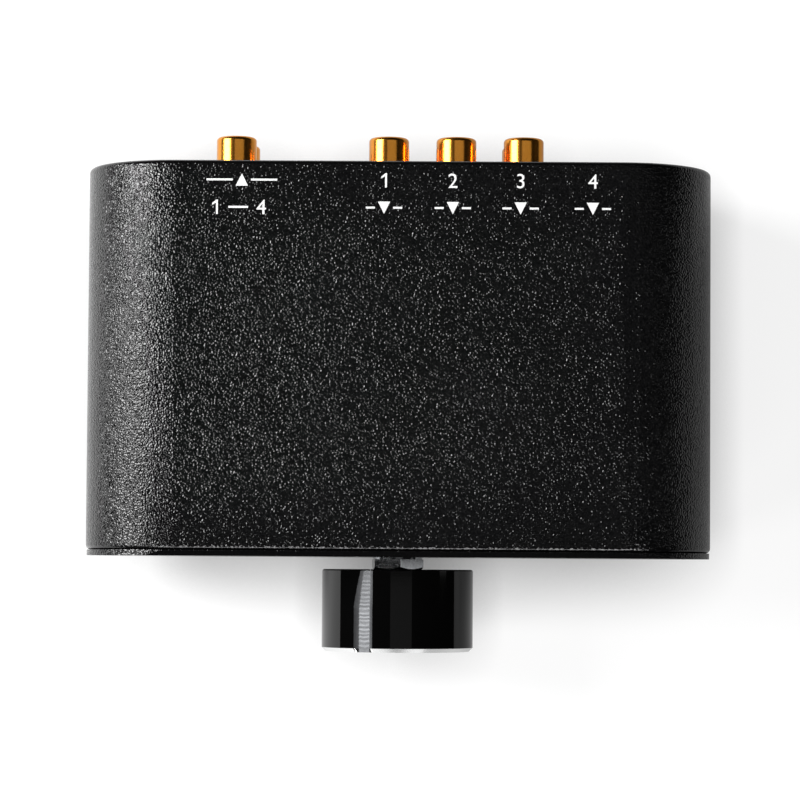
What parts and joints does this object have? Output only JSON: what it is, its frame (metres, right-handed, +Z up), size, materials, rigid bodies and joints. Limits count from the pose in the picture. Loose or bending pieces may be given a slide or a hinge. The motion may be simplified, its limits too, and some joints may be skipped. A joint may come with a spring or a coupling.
{
  "type": "audio source selector",
  "caption": "Black extruded-case stereo source selector with a large rotary knob on the front and gold phono sockets and a mini jack on the back.",
  "frame": {"origin": "middle of the part's bounding box, on the surface that the feet stand on", "axes": "+X to the right seen from the front, +Y from the knob to the sockets, +Z up"},
  "size_m": [0.13, 0.1064, 0.0445],
  "materials": {
    "coated_metal": "fine sand-textured black powder coat",
    "black_screws": "black oxide",
    "foot_rubber": "matt",
    "board": "green solder mask",
    "black_moulding": "moulded",
    "gold_plate": "polished gold plate",
    "red_insulator": "moulded",
    "white_insulator": "moulded",
    "contact_copper": "bare phosphor bronze and copper",
    "switch_metal": "plated",
    "white_moulding": "moulded",
    "knob_black": "gloss black, with a bare bright front edge and pointer groove"
  },
  "bodies": {
    "case": {"case_sleeve": "coated_metal", "front_panel": "coated_metal", "rear_panel": "coated_metal", "front_panel_screws": "black_screws", "rear_panel_screws": "black_screws", "block_screws": "black_screws", "foot_front_left": "foot_rubber", "foot_front_right": "foot_rubber", "foot_rear_left": "foot_rubber", "foot_rear_right": "foot_rubber", "main_board": "board", "wafer_board": "board", "input_block": "black_moulding", "output_block": "black_moulding", "mini_jack_body": "black_moulding", "header_strip": "black_moulding", "detent_ring": "black_moulding", "output_upper_barrel": "gold_plate", "output_upper_contact": "gold_plate", "output_lower_barrel": "gold_plate", "output_lower_contact": "gold_plate", "input_1_upper_barrel": "gold_plate", "input_1_upper_contact": "gold_plate", "input_1_lower_barrel": "gold_plate", "input_1_lower_contact": "gold_plate", "input_2_upper_barrel": "gold_plate", "input_2_upper_contact": "gold_plate", "input_2_lower_barrel": "gold_plate", "input_2_lower_contact": "gold_plate", "input_3_upper_barrel": "gold_plate", "input_3_upper_contact": "gold_plate", "input_3_lower_barrel": "gold_plate", "input_3_lower_contact": "gold_plate", "ground_lugs": "gold_plate", "contact_tails": "gold_plate", "header_pins": "gold_plate", "output_upper_insulator": "red_insulator", "input_1_upper_insulator": "red_insulator", "input_2_upper_insulator": "red_insulator", "input_3_upper_insulator": "red_insulator", "output_lower_insulator": "white_insulator", "input_1_lower_insulator": "white_insulator", "input_2_lower_insulator": "white_insulator", "input_3_lower_insulator": "white_insulator", "wafer_pads": "contact_copper", "mini_jack_tip_spring": "contact_copper", "mini_jack_ring_spring": "contact_copper", "switch_bushing": "switch_metal", "switch_washer": "switch_metal", "switch_nut": "switch_metal", "switch_tie_screws": "switch_metal", "mini_jack_ferrule": "switch_metal"},
    "selector": {"knob": "knob_black", "knob_set_screw": "switch_metal", "switch_shaft": "switch_metal", "shaft_clip": "switch_metal", "switch_rotor": "white_moulding", "detent_balls": "switch_metal", "detent_springs": "switch_metal", "wiper_springs": "contact_copper"}
  },
  "joints": [
    {"name": "knob_turn", "type": "hinge", "parent": "case", "child": "selector", "pos_m": [0, -0.03625, 0.0235], "axis": [0, 1, 0], "range_deg": [-45, 90]}
  ]
}
